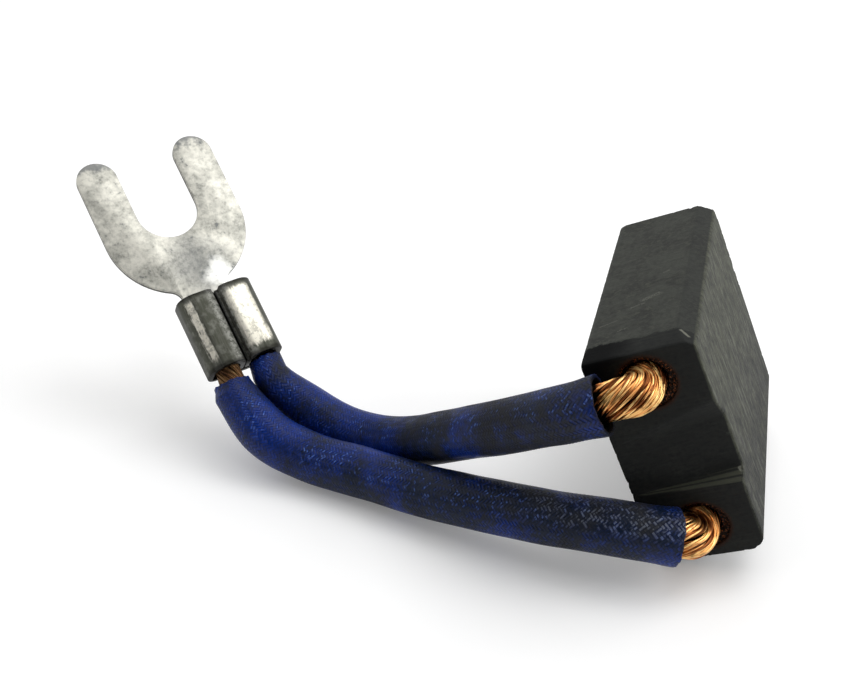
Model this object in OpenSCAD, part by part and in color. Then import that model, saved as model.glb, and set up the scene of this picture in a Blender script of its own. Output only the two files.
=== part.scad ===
// Carbon brush with two sleeved copper leads crimped into one fork terminal.
// +Y points along the brush's travel, from the lead face to the running face, and +Z is up.
// The brush lies as it rests by itself: on one long edge of the block and on the lower lead.

/* [Block] */
// Thickness of the carbon block, between its two broad faces
block_t = 12.7; // [11:0.1:16]
// Width of the block, across both lead holes
block_w = 28.6; // [26:0.1:36]
// Length of the block, from the lead face to the running face
block_l = 35; // [28:0.5:60]
// Angle by which the block leans over on its lower long edge
lean = 23.4; // [20:0.1:27]
// Radius of the two long edges of the left broad face
edge_r = 1; // [0.4:0.1:2]
// Radius of the lower long edge of the right broad face
worn_r = 2; // [1:0.1:3]
// Width of the chamfer on the upper long edge, across the thickness
bevel_t = 1.8; // [0.5:0.1:3]
// Height of the same chamfer, down the right broad face
bevel_w = 1.2; // [0.5:0.1:2]
// Length of the shallow bevel where the lead face meets the upper narrow face
lip_run = 2.6; // [1:0.1:3]
// Depth of that bevel at the lead face
lip_drop = 0.5; // [0.2:0.1:0.7]
// Radius of the edge between the lower narrow face and the running face
heel_r = 1.5; // [0.5:0.1:2.5]

/* [Spring channel] */
// Width of the channel across the lead face, at its mouth
channel_w = 11; // [9:0.1:12]
// Depth of the channel at the right broad face; it runs out to nothing at the left one
channel_d = 2.4; // [1.5:0.1:3.5]
// Distance from the lower narrow face to the channel
channel_z = 9.6; // [8.6:0.1:10.5]
// Slope of the channel's lower wall, off square to the lead face
channel_low_slope = 12; // [0:1:20]
// Slope of the channel's upper wall, off square to the lead face
channel_top_slope = 56; // [20:1:60]

/* [Lead holes] */
// Diameter of each blind lead hole
hole_d = 6.4; // [6:0.1:7]
// Depth of each lead hole
hole_depth = 12; // [8:0.5:16]
// Distance of each hole's centre from the nearer narrow face
hole_inset = 4.45; // [4.2:0.05:5]
// How far the packed powder stays below the lead face at its rim
tamp_recess = 0.3; // [0.1:0.1:0.8]
// How far the packed powder dishes down towards the conductor
tamp_dish = 0.4; // [0.1:0.1:0.8]
// How far each conductor sits off its hole's centre, towards the left broad face
lead_shift = 0.35; // [0:0.05:0.4]

/* [Leads] */
// Diameter of each stranded copper conductor
rope_d = 5; // [4.6:0.1:5.2]
// Outer diameter of the braided sleeve
sleeve_d = 6.5; // [6.3:0.1:6.8]
// Wall of the braided sleeve
sleeve_wall = 0.55; // [0.4:0.05:0.6]
// Length of conductor inside the block
rope_in_block = 10; // [6:0.5:11]
// Straight length of each lead before the barrel
straight = 3.6; // [3:0.1:5]
// Bare length of the upper conductor between its sleeve and the barrel
bare_upper = 0.4; // [0.3:0.1:2]
// Bare length of the lower conductor between its sleeve and the barrel
bare_lower = 1.8; // [0.3:0.1:2]

/* [Fork terminal] */
// Thickness of the tinned copper sheet
sheet = 0.8; // [0.6:0.1:1]
// Width of the open slot, to clear an 8 mm stud
slot_w = 8.4; // [8:0.1:8.8]
// Width of the fork across both tines
fork_w = 19.4; // [17:0.1:21]
// Distance from the barrel's rear end to the tips of the tines
fork_reach = 34.6; // [32:0.1:38]
// Depth of the slot, from the tips to its round bottom
slot_depth = 13.8; // [11:0.1:15]
// Width of sheet left between the slot's bottom and the base of the fork
web = 8.3; // [6:0.1:9]
// Width of the neck between the fork and the barrel
neck_w = 6.6; // [5:0.1:8]
// Length of the crimp barrel
barrel_l = 10.6; // [9:0.1:12]
// Width of the crimp barrel, across both lobes
barrel_w = 10.4; // [9.8:0.1:11]
// Height of the crimp barrel, from its floor to the top of the lobes
barrel_h = 5.5; // [5.2:0.1:6]
// Gap left in the seam between the two rolled wings
seam = 0.16; // [0.1:0.02:0.3]

/* [Fits] */
// Radial gap between a conductor and the powder or the barrel round it
rope_gap = 0.1; // [0.05:0.05:0.2]

/* [Hidden] */

$fn = 64;
cut = 0.5;                      // how far a cutter runs past the face it opens
lead_y = -block_l / 2;          // the lead face
hole_low = hole_inset;          // heights of the two lead holes above the lower narrow face
hole_high = block_w - hole_inset;
rope_r = rope_d / 2;

// The leaning block's lowest line and its two sides, from the round edges they lie on.
low_line = edge_r * (sin(lean) + cos(lean) - 1);
left_line = edge_r * cos(lean) - (block_w - edge_r) * sin(lean) - edge_r;
right_line = (block_t - worn_r) * cos(lean) - worn_r * sin(lean) + worn_r;
block_at = [-(left_line + right_line) / 2, 0, -low_line];

// Where the terminal lies: the rear end of its barrel, on the underside of the sheet.
terminal_at = [-57.2, -4.5, 9.4];
terminal_turn = [-6, -40, 141];
upper_side = -1;                // the lobe that each lead ends in
lower_side = 1;

lobe_r = barrel_w / 4;          // outer radius of each rolled lobe
lobe_z = barrel_h - lobe_r;
cavity_r = lobe_r - sheet;
rope_z = (lobe_z + cavity_r + sheet) / 2;
squeeze = (cavity_r - rope_gap) / rope_r;
squeeze_over = 10;              // length over which a lead narrows before the barrel
wing_gap = 0.4;                 // between the wings' edges and the barrel's floor
floor_r = 1.8;                  // lower long edges of the barrel
shoulder_r = 2.2;               // its upper long edges
roll_r = 1.6;                   // where a wing turns down into the seam

tine_w = (fork_w - slot_w) / 2;
slot_mid = fork_reach - slot_depth + slot_w / 2;
fork_base = fork_reach - slot_depth - web;
fork_mid = fork_base + fork_w / 2;
neck_flare = 1.8;               // radius of the round where the neck meets the fork
flare_y = neck_w / 2 + neck_flare;
flare_at = fork_mid - sqrt(pow(fork_w / 2 + neck_flare, 2) - pow(flare_y, 2));
flare_turn = asin(flare_y / (fork_w / 2 + neck_flare));

// Free stretches of the two leads, from where the sleeve starts to where it nears the terminal.
route_upper = [[-4.8, -19.9, 24.3], [-8, -21, 23.2], [-12, -20.3, 20.8], [-19, -16.7, 15.6],
               [-26, -12.8, 10.4], [-32, -9.3, 6], [-37.5, -7.1, 3.6], [-43, -6, 3.7],
               [-48, -5.3, 5.5]];
route_lower = [[3.3, -20, 6.6], [1.4, -21.2, 7.2], [-3, -21.8, 7.6], [-12, -21, 6.8], [-21, -18.9, 5.4],
               [-30, -16.4, 4.1], [-38.5, -14.1, 3.5], [-45.5, -12.8, 3.6], [-51, -12, 5.4]];
mouth = 4;                      // the route's point where the sleeve starts
curve_steps = 2;
rope_sides = 12;

// ---- vectors and routes ----

function unit(v) = v / norm(v);

// A point turned about X, then Y, then Z, by the three angles in a.
function turned(p, a) =
    let (y = p[1] * cos(a[0]) - p[2] * sin(a[0]), z = p[1] * sin(a[0]) + p[2] * cos(a[0]),
         x2 = p[0] * cos(a[1]) + z * sin(a[1]), z2 = z * cos(a[1]) - p[0] * sin(a[1]))
    [x2 * cos(a[2]) - y * sin(a[2]), x2 * sin(a[2]) + y * cos(a[2]), z2];

// A point on the axis of a conductor in its hole, at a distance out of the lead face.
function hole_point(height, out) =
    block_at + turned([block_t / 2 - lead_shift, lead_y - out, height], [0, -lean, 0]);

// A point on the axis of one lobe of the barrel, at a distance from its rear end.
function lobe_point(side, along) =
    terminal_at + turned([along, side * lobe_r, rope_z], terminal_turn);

// The whole route of a lead: out of its hole, along its free stretch and into its lobe.
function lead_route(height, free, side) =
    concat([hole_point(height, -rope_in_block), hole_point(height, -rope_r), hole_point(height, 0)],
           free, [lobe_point(side, -straight), lobe_point(side, 0), lobe_point(side, barrel_l - 1)]);

// A point between b and c on a smooth curve through a, b, c and d.
function between(a, b, c, d, t) =
    0.5 * (2 * b + (c - a) * t + (2 * a - 5 * b + 4 * c - d) * t * t
           + (3 * b - a - 3 * c + d) * t * t * t);

// A smooth curve through a route, with curve_steps points on each stretch.
function smooth(route) =
    let (last = len(route) - 1)
    [for (i = [0 : last - 1], k = [0 : curve_steps - 1])
        between(route[max(i - 1, 0)], route[i], route[i + 1], route[min(i + 2, last)], k / curve_steps),
     route[last]];

// The part of a route's curve that its sleeve covers, up to a bare length before the barrel.
function sleeved(route, bare) =
    let (curve = smooth(route), last = len(route) - 3, end = 1 - bare / straight)
    [for (i = [mouth * curve_steps : (last + 1) * curve_steps - 1]) if (i / curve_steps - last < end) curve[i],
     between(route[last - 1], route[last], route[last + 1], route[last + 2], end)];

// How much of a lead's size is left at a point, which narrows towards the barrel's rear end.
function narrowed(p, end) =
    let (t = min(norm(p - end) / squeeze_over, 1)) squeeze + (1 - squeeze) * t * t * (3 - 2 * t);

// Each point's share of the lead's size, along a curve; what lies in the barrel is squeezed fully.
function shares(curve, end, ahead) =
    [for (p = curve) (p - end) * ahead > 0 && norm(p - end) <= barrel_l ? squeeze : narrowed(p, end)];

// The direction of a curve at its point i.
function heading(curve, i) = unit(curve[min(i + 1, len(curve) - 1)] - curve[max(i - 1, 0)]);

// A ring of points round point i of a curve.
function ring(curve, i, radius) =
    let (ahead = heading(curve, i), across = unit(cross(ahead, [0, 0, 1])), above = cross(across, ahead))
    [for (k = [0 : rope_sides - 1])
        curve[i] + radius * (across * cos(360 * k / rope_sides) + above * sin(360 * k / rope_sides))];

// The faces between two rings whose points start at a and b.
function band(a, b) =
    [for (k = [0 : rope_sides - 1]) let (n = (k + 1) % rope_sides) [a + k, b + k, b + n, a + n]];

// ---- pieces ----

// A solid round rod along a curve.
module rod(curve, radius, share) {
    count = len(curve);
    points = [for (i = [0 : count - 1]) each ring(curve, i, radius * share[i])];
    start = [for (k = [0 : rope_sides - 1]) k];
    end = [for (k = [rope_sides - 1 : -1 : 0]) (count - 1) * rope_sides + k];
    sides = [for (i = [0 : count - 2]) each band(i * rope_sides, (i + 1) * rope_sides)];
    polyhedron(points, concat([start, end], sides));
}

// A hollow tube along a curve: rings of its outside, then rings of its bore.
module tube(curve, radius, wall, share) {
    count = len(curve);
    bore = count * rope_sides;
    points = concat([for (i = [0 : count - 1]) each ring(curve, i, radius * share[i])],
                    [for (i = [0 : count - 1]) each ring(curve, i, (radius - wall) * share[i])]);
    last = (count - 1) * rope_sides;
    outside = [for (i = [0 : count - 2]) each band(i * rope_sides, (i + 1) * rope_sides)];
    inside = [for (i = [0 : count - 2]) each band(bore + (i + 1) * rope_sides, bore + i * rope_sides)];
    polyhedron(points, concat(outside, inside, band(bore, 0), band(last, bore + last)));
}

// What a round of radius r leaves of a square corner at the origin, which it is cut from.
module corner(r) {
    difference() {
        translate([-cut, -cut]) square(r + cut);
        translate([r, r]) circle(r);
    }
}

// The block seen along its length: thickness across, width up.
module block_end() {
    difference() {
        square([block_t, block_w]);
        corner(edge_r);
        translate([0, block_w]) mirror([0, 1]) corner(edge_r);
        translate([block_t, 0]) mirror([1, 0]) corner(worn_r);
        polygon([[block_t - bevel_t, block_w], [block_t + cut, block_w],
                 [block_t + cut, block_w - bevel_w], [block_t, block_w - bevel_w]]);
    }
}

// The block seen across its thickness: length across, width up.
module block_side() {
    difference() {
        translate([lead_y, 0]) square([block_l, block_w]);
        polygon([[lead_y - cut, block_w + cut], [lead_y + lip_run, block_w + cut], [lead_y + lip_run, block_w],
                 [lead_y, block_w - lip_drop], [lead_y - cut, block_w - lip_drop]]);
        translate([-lead_y, 0]) mirror([1, 0]) corner(heel_r);
    }
}

// The tool that mills the spring channel: its profile, run along the slanting floor.
module channel_cutter() {
    slant = atan(channel_d / block_t);
    reach = channel_d + cut;
    low = channel_z + channel_d * tan(channel_low_slope);
    high = channel_z + channel_w - channel_d * tan(channel_top_slope);
    translate([block_t, lead_y + channel_d, 0]) rotate([0, 0, slant]) rotate([90, 0, -90])
        translate([0, 0, -block_t / 2]) linear_extrude(2 * block_t)
            polygon([[0, low], [0, high], [reach, high + reach * tan(channel_top_slope)],
                     [reach, low - reach * tan(channel_low_slope)]]);
}

// A lead hole's round space, from depth a to depth b below the lead face.
module hole_space(height, r, a, b) {
    translate([block_t / 2, lead_y + a, height]) rotate([-90, 0, 0]) cylinder(r = r, h = b - a);
}

module leaning() {
    translate(block_at) rotate([0, -lean, 0]) children();
}

module carbon_block() {
    color("DarkSlateGray") leaning() difference() {
        intersection() {
            translate([0, -lead_y + cut, 0]) rotate([90, 0, 0]) linear_extrude(block_l + 2 * cut) block_end();
            translate([-cut, 0, 0]) rotate([90, 0, 90]) linear_extrude(block_t + 2 * cut) block_side();
        }
        channel_cutter();
        for (height = [hole_low, hole_high]) hole_space(height, hole_d / 2, -cut, hole_depth);
    }
}

// Copper powder packed round a conductor, from the bottom of its hole to just below the face.
module tamping(height) {
    rim = hole_depth - tamp_recess;
    throat = rope_r + rope_gap;
    seat = hole_depth - rope_in_block;
    color("Sienna") leaning()
        translate([block_t / 2, lead_y + hole_depth, height]) rotate([90, 0, 0]) difference() {
            cylinder(r = hole_d / 2, h = rim);
            translate([-lead_shift, 0, seat]) cylinder(r = throat, h = hole_depth);
            translate([0, 0, rim - tamp_dish])
                cylinder(r1 = hole_d / 2 - 2 * tamp_dish, r2 = hole_d / 2 + tamp_dish / 2, h = 1.25 * tamp_dish);
        }
}

module tamping_upper() { tamping(hole_high); }
module tamping_lower() { tamping(hole_low); }

upper_lead = lead_route(hole_high, route_upper, upper_side);
lower_lead = lead_route(hole_low, route_lower, lower_side);

// The stranded copper core of a lead, from inside the block to inside the barrel.
module conductor(route, side) {
    curve = smooth(route);
    end = lobe_point(side, 0);
    ahead = lobe_point(side, 1) - end;
    color("Peru") rod(curve, rope_r, shares(curve, end, ahead));
}

// The braided sleeve over a lead's free stretch.
module sleeve(route, side, bare) {
    curve = sleeved(route, bare);
    end = lobe_point(side, 0);
    ahead = lobe_point(side, 1) - end;
    color("MidnightBlue") tube(curve, sleeve_d / 2, sleeve_wall, shares(curve, end, ahead));
}

module conductor_upper() { conductor(upper_lead, upper_side); }
module conductor_lower() { conductor(lower_lead, lower_side); }
module sleeve_upper() { sleeve(upper_lead, upper_side, bare_upper); }
module sleeve_lower() { sleeve(lower_lead, lower_side, bare_lower); }

// The flat fork, lying along +X from its neck to the tips of its tines.
module fork_outline() {
    difference() {
        union() {
            translate([fork_mid, 0]) circle(fork_w / 2);
            translate([fork_mid, -fork_w / 2]) square([fork_reach - tine_w / 2 - fork_mid, fork_w]);
            for (side = [-1, 1])
                translate([fork_reach - tine_w / 2, side * (slot_w + tine_w) / 2]) circle(tine_w / 2);
            translate([barrel_l - sheet, -neck_w / 2]) square([fork_mid - barrel_l, neck_w]);
            for (side = [-1, 1]) difference() {
                polygon([[flare_at, 0], [flare_at, side * neck_w / 2],
                         [flare_at + neck_flare * cos(flare_turn), side * (flare_y - neck_flare * sin(flare_turn))],
                         [fork_mid, 0]]);
                translate([flare_at, side * flare_y]) circle(neck_flare);
            }
        }
        translate([slot_mid, 0]) circle(slot_w / 2);
        translate([slot_mid, -slot_w / 2]) square([fork_reach, slot_w]);
    }
}

// The crimped barrel in section: one strip whose two wings roll in and meet on the centre line.
module barrel_section() {
    difference() {
        translate([-barrel_w / 2, 0]) square([barrel_w, barrel_h]);
        for (side = [0, 1]) mirror([side, 0]) {
            translate([barrel_w / 2, barrel_h]) rotate(180) corner(shoulder_r);
            translate([0, barrel_h]) rotate(-90) corner(roll_r);
            translate([barrel_w / 2, 0]) rotate(90) corner(floor_r);
            translate([lobe_r, lobe_z]) circle(cavity_r);
            translate([lobe_r - cavity_r, sheet]) square([2 * cavity_r, lobe_z - sheet]);
        }
        translate([-lobe_r, sheet]) square([2 * lobe_r, wing_gap]);
        translate([-seam / 2, sheet]) square([seam, barrel_h]);
    }
}

module fork_terminal() {
    color("Silver") translate(terminal_at) rotate(terminal_turn) {
        linear_extrude(sheet) fork_outline();
        rotate([90, 0, 90]) linear_extrude(barrel_l) barrel_section();
    }
}

carbon_block();
tamping_upper();
tamping_lower();
conductor_upper();
conductor_lower();
sleeve_upper();
sleeve_lower();
fork_terminal();
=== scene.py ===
"""The looks of a carbon brush: worn carbon, tamped powder, copper strands, blue braid and a tinned fork."""

import logging
import math
from collections.abc import Callable
from dataclasses import dataclass
from enum import Enum
from functools import cached_property, reduce

import bpy
import numpy as np
from mathutils import Matrix, Vector, noise


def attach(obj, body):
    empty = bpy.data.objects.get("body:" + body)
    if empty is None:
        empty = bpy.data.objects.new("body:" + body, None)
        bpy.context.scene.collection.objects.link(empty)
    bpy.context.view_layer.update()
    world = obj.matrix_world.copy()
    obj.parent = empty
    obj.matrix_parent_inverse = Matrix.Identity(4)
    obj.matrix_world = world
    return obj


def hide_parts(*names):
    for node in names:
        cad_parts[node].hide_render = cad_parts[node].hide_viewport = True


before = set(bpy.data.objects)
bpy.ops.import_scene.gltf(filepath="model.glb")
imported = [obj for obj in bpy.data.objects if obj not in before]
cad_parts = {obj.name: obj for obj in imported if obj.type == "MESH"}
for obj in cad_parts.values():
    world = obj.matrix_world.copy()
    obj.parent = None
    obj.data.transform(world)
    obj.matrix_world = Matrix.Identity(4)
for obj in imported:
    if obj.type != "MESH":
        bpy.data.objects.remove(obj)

LOG = logging.getLogger("carbon_brush")
MM = 0.001
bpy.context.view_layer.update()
BODY = "root"
BARREL_AT = (-57.2, -4.5, 9.4)     # the middle of the barrel's mouth, in millimetres
Colour = tuple[float, float, float, float]
Triple = tuple[float, float, float]
Mark = tuple[float, float, float, float, float]


def tint(red: int, green: int, blue: int) -> Colour:
    """The linear colour of three eight-bit display values.

    Args:
        red: The red value, from 0 to 255.
        green: The green value.
        blue: The blue value.

    Returns:
        The colour, opaque.
    """
    def linear(value: int) -> float:
        """One channel, out of the display's curve."""
        share = value / 255
        return share / 12.92 if share <= 0.04045 else ((share + 0.055) / 1.055) ** 2.4
    return linear(red), linear(green), linear(blue), 1.0


def add(name: str, data: bpy.types.ID) -> bpy.types.Object:
    """Makes an object and links it to the scene.

    Args:
        name: The object's name.
        data: Its mesh, lamp or camera.

    Returns:
        The new object.
    """
    thing = bpy.data.objects.new(name, data)
    bpy.context.scene.collection.objects.link(thing)
    return thing


def only(piece: bpy.types.Object) -> None:
    """Selects a piece alone and makes it active.

    Args:
        piece: The object.
    """
    bpy.ops.object.select_all(action="DESELECT")
    piece.select_set(True)
    bpy.context.view_layer.objects.active = piece


def shape(piece: bpy.types.Object, kind: str, **settings: object) -> None:
    """Adds a modifier to a piece and applies it.

    Args:
        piece: The mesh object.
        kind: The modifier's type, such as "BEVEL".
        **settings: The modifier's own settings.
    """
    modifier = piece.modifiers.new(kind.title(), kind)
    for key, value in settings.items():
        setattr(modifier, key, value)
    only(piece)
    bpy.ops.object.modifier_apply(modifier=modifier.name)


def smooth(piece: bpy.types.Object, crease: float) -> None:
    """Shades a piece smooth, apart from edges that turn by more than an angle in degrees."""
    only(piece)
    bpy.ops.object.shade_smooth_by_angle(angle=math.radians(crease))


def copy_of_node(node: str, name: str) -> bpy.types.Object:
    """A copy of a CAD node with its loose triangles merged and its flat faces joined.

    Args:
        node: The CAD node's name.
        name: The new piece's name.

    Returns:
        The new object, linked to the scene.
    """
    piece = add(name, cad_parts[node].data.copy())
    piece.data.materials.clear()
    only(piece)
    bpy.ops.object.mode_set(mode="EDIT")
    bpy.ops.mesh.select_all(action="SELECT")
    bpy.ops.mesh.remove_doubles(threshold=1e-6)
    bpy.ops.mesh.dissolve_limited(angle_limit=math.radians(1.5))
    bpy.ops.object.mode_set(mode="OBJECT")
    return piece


def mesh_piece(name: str, points: np.ndarray, faces: list[tuple[int, ...]]) -> bpy.types.Object:
    """A new mesh object from its points and faces, shaded smooth.

    Args:
        name: The piece's name.
        points: Its points, in metres.
        faces: The corners of each face, counterclockwise from outside.

    Returns:
        The new object, linked to the scene.
    """
    mesh = bpy.data.meshes.new(name)
    mesh.from_pydata(points.tolist(), [], faces)
    mesh.update()
    mesh.polygons.foreach_set("use_smooth", [True] * len(mesh.polygons))
    return add(name, mesh)


def dress(piece: bpy.types.Object, material: bpy.types.Material, node: str) -> None:
    """Gives a piece its finish and its body, and hides the CAD node that it stands for.

    Args:
        piece: The finished mesh object.
        material: Its finish.
        node: The CAD node that it replaces.
    """
    piece.data.materials.clear()
    piece.data.materials.append(material)
    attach(piece, BODY)
    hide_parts(node)
    LOG.info("%s: %d faces", piece.name, len(piece.data.polygons))


# ---- shader expressions ----

def joins(operation: str, swapped: bool = False) -> Callable[["Sock", "Value"], "Sock"]:
    """One operator of Sock.

    Args:
        operation: The Math node's operation.
        swapped: Whether the other term comes first, as in 1 - mask.

    Returns:
        The method.
    """
    def method(self: "Sock", other: "Value") -> "Sock":
        """Adds the Math node of the two terms."""
        return self.board.math(operation, *((other, self) if swapped else (self, other)))
    return method


@dataclass(frozen=True)
class Sock:
    """An output socket whose arithmetic adds Math nodes to its board."""

    board: "Board"
    socket: bpy.types.NodeSocket

    __add__ = __radd__ = joins("ADD")
    __mul__ = __rmul__ = joins("MULTIPLY")
    __sub__, __rsub__ = joins("SUBTRACT"), joins("SUBTRACT", swapped=True)
    __truediv__, __rtruediv__ = joins("DIVIDE"), joins("DIVIDE", swapped=True)
    __pow__, __rpow__ = joins("POWER"), joins("POWER", swapped=True)
    __mod__, __rmod__ = joins("FLOORED_MODULO"), joins("FLOORED_MODULO", swapped=True)
    __gt__, __lt__ = joins("GREATER_THAN"), joins("LESS_THAN")

    def __abs__(self) -> "Sock":
        """The value without its sign."""
        return self.board.math("ABSOLUTE", self)


Value = Sock | float | int


class Board:
    """The node board of one finish."""

    def __init__(self, owner: bpy.types.Material | bpy.types.World) -> None:
        """Starts with an empty board.

        Args:
            owner: The new material or world that the board belongs to.
        """
        owner.use_nodes = True
        self.owner = owner
        self.tree = owner.node_tree
        self.tree.nodes.clear()

    @classmethod
    def finish(cls, name: str) -> "Board":
        """The board of a new material."""
        return cls(bpy.data.materials.new(name))

    def node(self, kind: str, settings: dict[str, object] | None = None,
             values: dict[str | int, object] | None = None) -> bpy.types.Node:
        """Adds a node.

        Args:
            kind: The node's type.
            settings: Its settings, set before its sockets.
            values: What each input socket holds, or the Sock that feeds it.

        Returns:
            The new node.
        """
        made = self.tree.nodes.new(kind)
        for key, value in (settings or {}).items():
            setattr(made, key, value)
        for key, value in (values or {}).items():
            if isinstance(value, Sock):
                self.tree.links.new(value.socket, made.inputs[key])
            else:
                made.inputs[key].default_value = value
        return made

    def pick(self, node: bpy.types.Node, output: str | int = 0) -> Sock:
        """One output of a node."""
        return Sock(self, node.outputs[output])

    def math(self, operation: str, *terms: Value) -> Sock:
        """A Math node of these terms."""
        return self.pick(self.node("ShaderNodeMath", {"operation": operation}, dict(enumerate(terms))))

    def most(self, *terms: Sock) -> Sock:
        """The greatest of these terms."""
        return reduce(lambda one, other: self.math("MAXIMUM", one, other), terms)

    def least(self, *terms: Sock) -> Sock:
        """The least of these terms."""
        return reduce(lambda one, other: self.math("MINIMUM", one, other), terms)

    def vector(self, operation: str, *terms: object, output: str = "Vector") -> Sock:
        """A Vector Math node of these terms."""
        node = self.node("ShaderNodeVectorMath", {"operation": operation}, dict(enumerate(terms)))
        return self.pick(node, output)

    def mix(self, share: Value, first: object, second: object) -> Sock:
        """Two colours mixed by a share from 0 to 1."""
        values = {0: share, 6: first, 7: second}
        return self.pick(self.node("ShaderNodeMix", {"data_type": "RGBA"}, values), 2)

    def coats(self, colour: Sock, *layers: tuple[Value, object]) -> Sock:
        """A colour under further ones, each laid on by its own share from 0 to 1."""
        return reduce(lambda under, layer: self.mix(layer[0], under, layer[1]), layers, colour)

    def ease(self, value: Sock, low: float, high: float) -> Sock:
        """A smooth rise from 0 to 1, or a fall where low is the greater.

        Args:
            value: What it follows.
            low: The value at which it is 0.
            high: The value at which it is 1.

        Returns:
            The mask.
        """
        if low > high:
            return 1 - self.ease(value, high, low)
        return self.pick(self.node("ShaderNodeMapRange", {"interpolation_type": "SMOOTHSTEP"},
                                   {"Value": value, "From Min": low, "From Max": high}))

    def object_mm(self, at: Vector = Vector((0, 0, 0)), turn: Triple = (0, 0, 0)) -> Sock:
        """Object coordinates in millimetres, seen from a part's own place and turn.

        Args:
            at: The part's origin, in metres.
            turn: Its turn about X, then Y, then Z, in degrees.

        Returns:
            The vector.
        """
        place = self.pick(self.node("ShaderNodeTexCoord"), "Object")
        return self.pick(self.node("ShaderNodeMapping", {"vector_type": "TEXTURE"}, {
            "Vector": place, "Location": at, "Rotation": [math.radians(a) for a in turn],
            "Scale": (MM, MM, MM)}))

    def attribute(self, name: str, output: str) -> Sock:
        """What an attribute of the mesh holds."""
        return self.pick(self.node("ShaderNodeAttribute", {"attribute_name": name}), output)

    def split(self, vector: Sock) -> tuple[Sock, Sock, Sock]:
        """The three parts of a vector."""
        node = self.node("ShaderNodeSeparateXYZ", None, {0: vector})
        return self.pick(node, 0), self.pick(node, 1), self.pick(node, 2)

    def join(self, x: Value, y: Value, z: Value) -> Sock:
        """A vector of three values."""
        return self.pick(self.node("ShaderNodeCombineXYZ", None, {0: x, 1: y, 2: z}))

    def grain(self, vector: Sock, scale: float | Triple, detail: float = 2, rough: float = 0.5) -> Sock:
        """Noise at a place, about 0.5 on average.

        Args:
            vector: The place.
            scale: Waves per unit, the same on all axes or one for each.
            detail: Octaves added.
            rough: Their strength.

        Returns:
            The value.
        """
        if isinstance(scale, tuple):
            vector, scale = self.vector("MULTIPLY", vector, scale), 1.0
        return self.pick(self.node("ShaderNodeTexNoise", None, {
            "Vector": vector, "Scale": scale, "Detail": detail, "Roughness": rough}))

    def cells(self, vector: Sock, scale: float, output: str = "Distance") -> Sock:
        """Distance to the nearest point of a random scatter, or its cell's colour."""
        values = {"Vector": vector, "Scale": scale}
        return self.pick(self.node("ShaderNodeTexVoronoi", None, values), output)

    def dash(self, u: Sock, v: Sock, mark: Mark, fray: Value) -> Sock:
        """A short straight mark on a face, 1 inside and 0 outside.

        Args:
            u: The face's first coordinate.
            v: Its second coordinate.
            mark: The mark's middle, its turn in degrees, its half length and its half width.
            fray: What is added to the distance from its middle line.

        Returns:
            The mask.
        """
        mid_u, mid_v, turn, half_length, half_width = mark
        c, s = math.cos(math.radians(turn)), math.sin(math.radians(turn))
        ahead = abs((u - mid_u) * c + (v - mid_v) * s)
        aside = abs((v - mid_v) * c - (u - mid_u) * s)
        return (self.ease(ahead + fray, half_length, half_length * 0.7)
                * self.ease(aside + fray * 0.5, half_width, half_width * 0.4))

    def seen(self) -> Sock:
        """One for what the eye sees, straight or in a reflection or through glass, and zero for light."""
        rays, kinds = self.node("ShaderNodeLightPath"), ("Camera", "Glossy", "Transmission")
        return self.most(*(self.pick(rays, f"Is {kind} Ray") for kind in kinds))

    def bump(self, height: Sock, depth: float) -> Sock:
        """The normal of a relief whose height of 1 stands for a depth in millimetres."""
        return self.pick(self.node("ShaderNodeBump", None,
                                   {"Height": height, "Distance": depth * MM, "Strength": 1.0}))

    def surface(self, shader: bpy.types.Node) -> bpy.types.Material:
        """Feeds a shader to the output and gives back the finished material."""
        self.node("ShaderNodeOutputMaterial", None, {"Surface": self.pick(shader)})
        return self.owner

    def close(self, **values: object) -> bpy.types.Material:
        """Feeds the main shader and the output.

        Args:
            **values: The shader's sockets, with underscores for spaces.

        Returns:
            The finished material.
        """
        return self.surface(self.node("ShaderNodeBsdfPrincipled", None,
                                      {key.replace("_", " "): value for key, value in values.items()}))


# ---- finishes: an ease takes a value's two ends, in millimetres where the value is a place ----

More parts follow.
